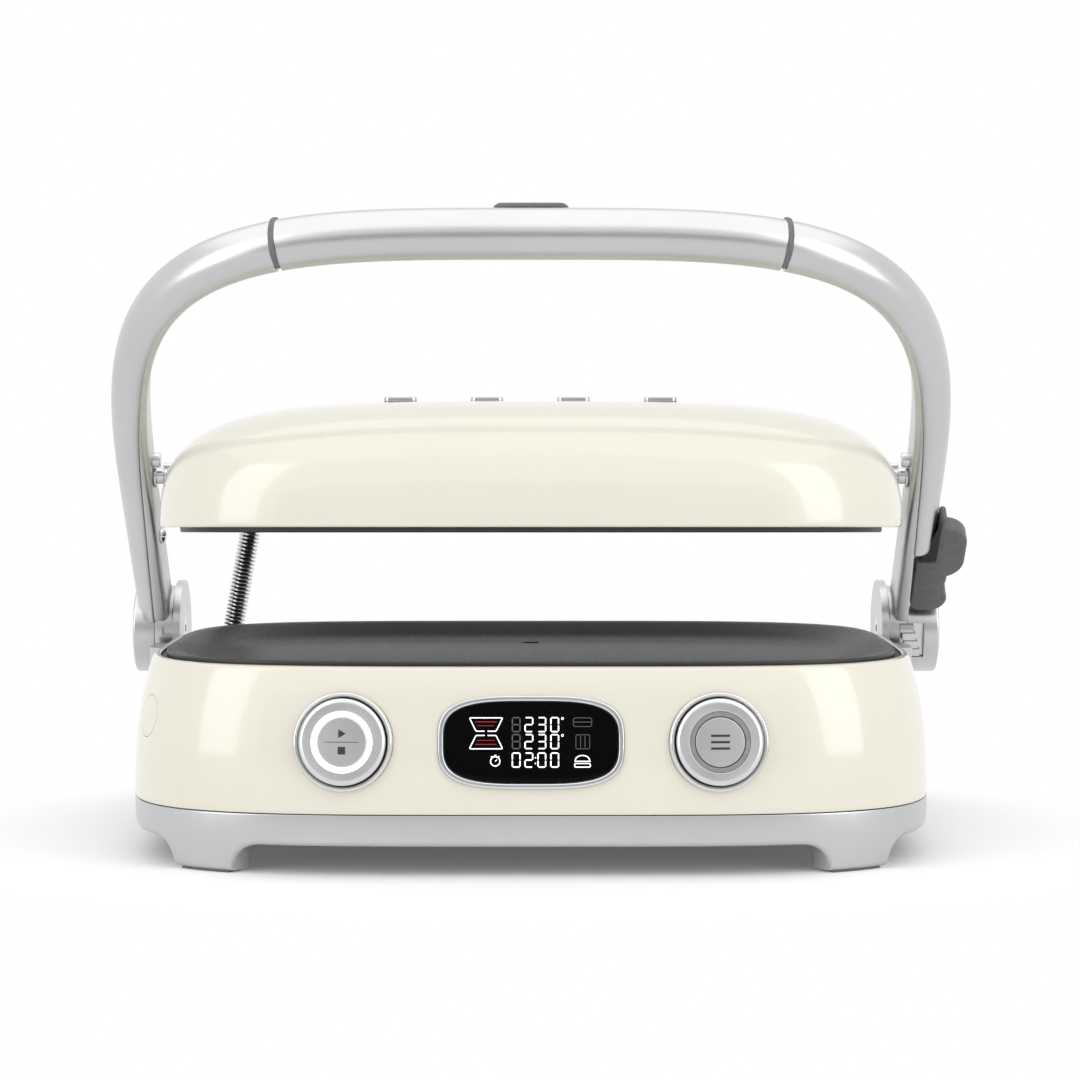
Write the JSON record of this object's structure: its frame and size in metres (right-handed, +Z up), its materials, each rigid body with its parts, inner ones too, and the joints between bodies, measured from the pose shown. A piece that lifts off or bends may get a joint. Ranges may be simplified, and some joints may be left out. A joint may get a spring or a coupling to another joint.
{
  "type": "electric contact grill with lid",
  "caption": "Electric contact grill: round-cornered body on a metal foot ring, two dials and a display, grill plates, and a floating lid carried by a tall arched handle.",
  "frame": {"origin": "on the table, under the middle of the body", "axes": "+Z up; the front, with the dials and the display, faces -Y; +X is the viewer's right, along the width"},
  "size_m": [0.4632, 0.312, 0.3245],
  "materials": {
    "black": "matt",
    "board": "matt",
    "charcoal": "non-stick coating, satin",
    "cream": "gloss",
    "dark_plastic": "matt",
    "drum_metal": "satin",
    "frame_metal": "satin",
    "glass": "gloss black",
    "grey": "matt",
    "light": "diffusing",
    "silver": "satin",
    "steel": "polished"
  },
  "bodies": {
    "base": {"base_frame": "frame_metal", "foot_pads": "grey", "bottom_cover": "black", "cover_screws": "steel", "lower_shell": "cream", "plate_frame": "black", "lower_heater": "steel", "lower_reflector": "steel", "lower_thermostat": "frame_metal", "display_bezel": "steel", "display_lens": "glass", "control_board": "board", "power_board": "board", "start_bezel": "steel", "menu_bezel": "steel", "start_encoder": "black", "menu_encoder": "black", "hinge_bracket_left": "frame_metal", "hinge_bracket_right": "frame_metal", "lead_gland_lower": "black", "mains_gland": "black", "lead_sleeve": "steel"},
    "start_dial": {"start_dial": "silver", "start_light_ring": "light"},
    "start_button": {"start_button": "silver"},
    "menu_dial": {"menu_dial": "silver", "menu_light_ring": "dark_plastic"},
    "menu_button": {"menu_button": "silver"},
    "lower_release": {"lower_release": "cream"},
    "lower_plate": {"lower_plate": "charcoal"},
    "drip_tray": {"drip_tray": "black"},
    "hinge_drums": {"hinge_axle_left": "steel", "hinge_axle_right": "steel", "hinge_drum_left": "drum_metal", "hinge_drum_right": "drum_metal", "height_cam": "steel"},
    "arms": {"left_arm": "frame_metal", "right_arm": "frame_metal", "left_arm_liner": "steel", "right_arm_liner": "steel", "handle_grip": "frame_metal", "grip_liner": "steel", "handle_rings": "grey", "handle_rest_pad": "grey", "arm_screws": "steel", "tilt_stops": "steel", "lever_mount": "black"},
    "height_lever": {"height_lever": "dark_plastic"},
    "pivot_pins": {"pivot_pin_left": "steel", "pivot_pin_right": "steel"},
    "lid": {"lid_shell": "cream", "lid_frame": "black", "lid_top_pads": "steel", "upper_heater": "steel", "upper_reflector": "steel", "tilt_rods": "steel", "lead_gland_upper": "black"},
    "upper_release": {"upper_release": "cream"},
    "upper_plate": {"upper_plate": "charcoal"}
  },
  "joints": [
    {"name": "lid_open", "type": "hinge", "parent": "base", "child": "hinge_drums", "pos_m": [0, 0.14, 0.0957], "axis": [-1, 0, 0], "range_deg": [0, 150]},
    {"name": "lid_lift", "type": "hinge", "parent": "hinge_drums", "child": "arms", "pos_m": [0, 0.14, 0.0957], "axis": [-1, 0, 0], "range_deg": [-28.53, 0], "deforming": ["lead_sleeve"]},
    {"name": "pin_turn", "type": "hinge", "parent": "arms", "child": "pivot_pins", "pos_m": [0, 0.05167, 0.18527], "axis": [-1, 0, 0], "range_deg": [0, 26.21]},
    {"name": "lid_tilt", "type": "hinge", "parent": "pivot_pins", "child": "lid", "pos_m": [0, 0.05167, 0.18527], "axis": [-1, 0, 0], "range_deg": [0, 27.7]},
    {"name": "height_lever_turn", "type": "hinge", "parent": "arms", "child": "height_lever", "pos_m": [0.2172, 0.0936, 0.13421], "axis": [1, 0, 0], "range_deg": [0, 25]},
    {"name": "start_turn", "type": "hinge", "parent": "base", "child": "start_dial", "pos_m": [-0.089, -0.13707, 0.0645], "axis": [-0.0652, -0.9915, 0.1127], "continuous": true},
    {"name": "menu_turn", "type": "hinge", "parent": "base", "child": "menu_dial", "pos_m": [0.089, -0.13707, 0.0645], "axis": [0.0652, -0.9915, 0.1127], "continuous": true},
    {"name": "start_press", "type": "slide", "parent": "base", "child": "start_button", "axis": [0.0652, 0.9915, -0.1127], "range_m": [0, 0.0012], "stiffness_N_per_m": 800, "springref_m": -0.0005},
    {"name": "menu_press", "type": "slide", "parent": "base", "child": "menu_button", "axis": [-0.0652, 0.9915, -0.1127], "range_m": [0, 0.0012], "stiffness_N_per_m": 800, "springref_m": -0.0005},
    {"name": "lower_release_press", "type": "slide", "parent": "base", "child": "lower_release", "axis": [0.8878, 0.4338, -0.1536], "range_m": [0, 0.003], "stiffness_N_per_m": 800, "springref_m": -0.0005},
    {"name": "upper_release_press", "type": "slide", "parent": "lid", "child": "upper_release", "axis": [0.938, 0.1427, -0.3159], "range_m": [0, 0.003], "stiffness_N_per_m": 800, "springref_m": -0.0005},
    {"name": "lower_plate_lift", "type": "slide", "parent": "base", "child": "lower_plate", "axis": [0, 0, 1], "range_m": [0, 0.04]},
    {"name": "upper_plate_drop", "type": "slide", "parent": "lid", "child": "upper_plate", "axis": [0, -0.0457, -0.999], "range_m": [0, 0.03]},
    {"name": "drip_tray_slide", "type": "slide", "parent": "base", "child": "drip_tray", "axis": [0, -1, 0], "range_m": [-0.1, 0]}
  ],
  "couplings": [
    {"joint": "pin_turn", "follows": "lid_lift", "ratio": -0.90818},
    {"joint": "lid_tilt", "follows": "lid_open", "ratio": 0.18253}
  ]
}
